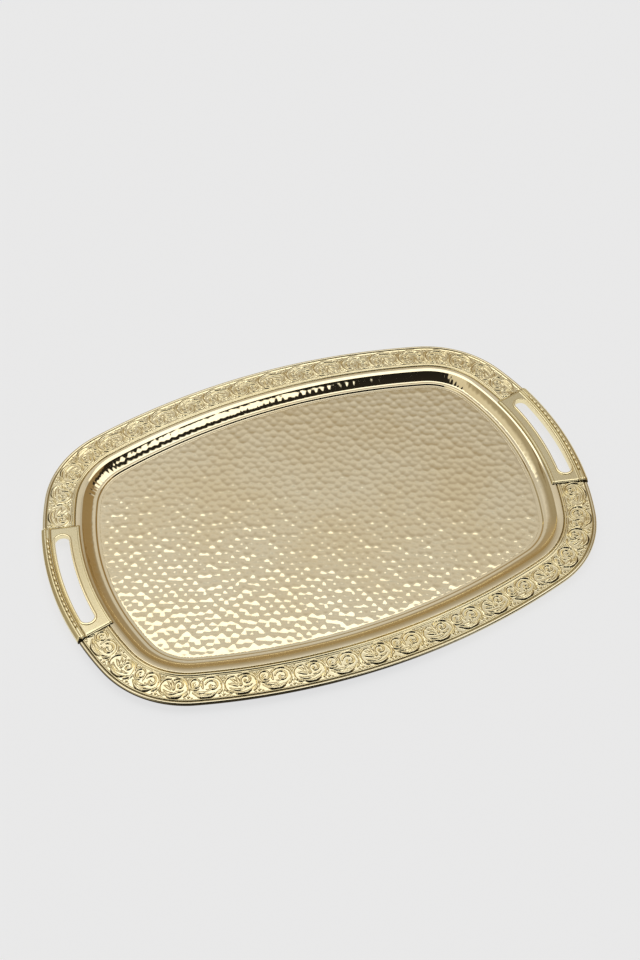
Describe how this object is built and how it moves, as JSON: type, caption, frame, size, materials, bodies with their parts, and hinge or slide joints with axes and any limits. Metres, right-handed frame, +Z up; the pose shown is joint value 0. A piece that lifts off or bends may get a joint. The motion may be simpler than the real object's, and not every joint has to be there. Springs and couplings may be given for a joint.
{
  "type": "serving tray",
  "caption": "Low brass serving tray, rectangular with bowed sides and round corners: hammered well, embossed scroll border and slotted handle plates with beading.",
  "frame": {"origin": "middle of the flat underside of the well's floor, which is the bottom centre of the bounding box", "axes": "+X along the tray towards the right-hand handle, +Y across it towards the far long side, +Z up"},
  "size_m": [0.46, 0.333, 0.013],
  "materials": {
    "pan_brass": "hand-hammered and satin polished",
    "border_brass": "embossed, pale, with darker hollows",
    "handle_brass": "fine-grained satin with worn edges",
    "trim_brass": "bright polished",
    "wire_steel": "drawn wire",
    "screw_brass": "turned, slightly dulled"
  },
  "bodies": {
    "root": {"pan": "pan_brass", "border_front": "border_brass", "border_rear": "border_brass", "rim_wire_front": "wire_steel", "rim_wire_rear": "wire_steel", "handle_plate_left": "handle_brass", "handle_plate_right": "handle_brass", "slot_liner_left": "trim_brass", "slot_liner_right": "trim_brass", "bead_wire_left": "trim_brass", "bead_wire_right": "trim_brass", "handle_screws_left": "screw_brass", "handle_screws_right": "screw_brass"}
  },
  "joints": []
}
